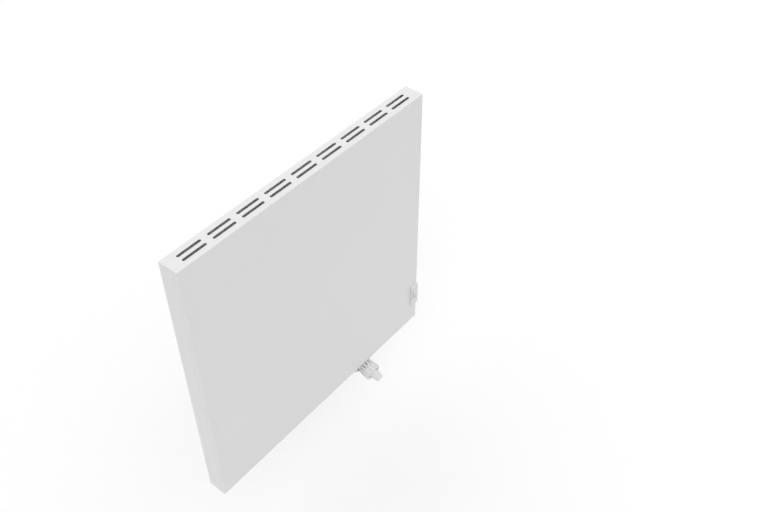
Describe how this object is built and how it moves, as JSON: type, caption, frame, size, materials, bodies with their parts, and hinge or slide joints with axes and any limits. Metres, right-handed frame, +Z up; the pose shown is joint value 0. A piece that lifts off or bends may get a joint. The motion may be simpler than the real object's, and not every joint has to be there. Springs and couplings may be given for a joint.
{
  "type": "wall panel convector heater",
  "caption": "Flat-front hot-water panel convector on wall rails, with a slotted top grille, a side thumb-wheel thermostat and a shut-off connection block below.",
  "frame": {"origin": "centre of the four wall screw holes, on the wall face of the two rails", "axes": "+X to the right as seen from the room, +Y into the wall, +Z up"},
  "size_m": [0.9, 0.147, 0.9716],
  "materials": {
    "enamelled_casing": "smooth powder coat on folded steel sheet",
    "enamelled_water_panel": "smooth powder coat on pressed steel",
    "zinc_plated_steel": "bright zinc plating",
    "galvanised_rail": "galvanised steel strip",
    "nickel_plated_brass": "satin nickel plating on turned brass",
    "brass": "turned brass",
    "moulded_plastic": "fine satin moulded plastic",
    "dark_rubber": "moulded rubber",
    "sensor_metal": "drawn capsule"
  },
  "bodies": {
    "heater_body": {"front_panel": "enamelled_casing", "left_end_cover": "enamelled_casing", "right_end_cover": "enamelled_casing", "top_grille": "enamelled_casing", "rear_panel": "enamelled_casing", "casing_screws": "zinc_plated_steel", "bottom_braces": "zinc_plated_steel", "grille_supports": "zinc_plated_steel", "front_water_shell": "enamelled_water_panel", "rear_water_shell": "enamelled_water_panel", "riser_boss": "enamelled_water_panel", "left_convector_fins": "enamelled_water_panel", "middle_convector_fins": "enamelled_water_panel", "right_convector_fins": "enamelled_water_panel", "upper_left_lug": "enamelled_water_panel", "upper_right_lug": "enamelled_water_panel", "lower_left_lug": "enamelled_water_panel", "lower_right_lug": "enamelled_water_panel", "left_wall_rail": "galvanised_rail", "right_wall_rail": "galvanised_rail", "hook_pads": "moulded_plastic", "vent_boss": "enamelled_water_panel", "vent_plug": "nickel_plated_brass", "valve_body": "nickel_plated_brass", "valve_insert": "brass", "thermostat_base": "moulded_plastic", "wheel_retainer": "zinc_plated_steel", "control_plate": "moulded_plastic", "control_plate_screws": "zinc_plated_steel", "return_pipe": "enamelled_water_panel", "flow_pipe": "enamelled_water_panel", "riser_pipe": "enamelled_water_panel", "return_union_nut": "nickel_plated_brass", "flow_union_nut": "nickel_plated_brass", "union_gaskets": "dark_rubber", "connection_block": "nickel_plated_brass", "gland_nut": "nickel_plated_brass", "slotted_shroud": "moulded_plastic"},
    "setting_wheel_body": {"setting_wheel": "moulded_plastic"},
    "sensor_body": {"sensor_capsule": "sensor_metal"},
    "shutoff_body": {"shutoff_plug": "nickel_plated_brass", "plug_seals": "dark_rubber", "handwheel": "moulded_plastic", "hub_screw": "zinc_plated_steel", "nose_cap": "moulded_plastic"},
    "vent_screw_body": {"vent_screw": "brass"},
    "left_lock_body": {"left_lock_slide": "moulded_plastic"},
    "right_lock_body": {"right_lock_slide": "moulded_plastic"}
  },
  "joints": [
    {"name": "setting_wheel_turn", "type": "hinge", "parent": "heater_body", "child": "setting_wheel_body", "pos_m": [0.434, -0.0713, -0.325], "axis": [1, 0, 0], "range_deg": [-135, 135]},
    {"name": "sensor_slide", "type": "slide", "parent": "heater_body", "child": "sensor_body", "axis": [-1, 0, 0], "range_m": [-0.00151, 0.00151]},
    {"name": "shutoff_turn", "type": "hinge", "parent": "heater_body", "child": "shutoff_body", "pos_m": [0.191, -0.0585, -0.48], "axis": [0, -0.9744, -0.225], "range_deg": [0, 90]},
    {"name": "vent_screw_turn", "type": "hinge", "parent": "heater_body", "child": "vent_screw_body", "pos_m": [0.2823, -0.06705, 0.43], "axis": [0, 0, 1], "range_deg": [0, 360]},
    {"name": "left_lock_slide_lift", "type": "slide", "parent": "heater_body", "child": "left_lock_body", "axis": [0, 0, 1], "range_m": [0, 0.012]},
    {"name": "right_lock_slide_lift", "type": "slide", "parent": "heater_body", "child": "right_lock_body", "axis": [0, 0, 1], "range_m": [0, 0.012]}
  ],
  "couplings": [
    {"joint": "sensor_slide", "follows": "setting_wheel_turn", "m_per_rad": 0.00063662}
  ]
}
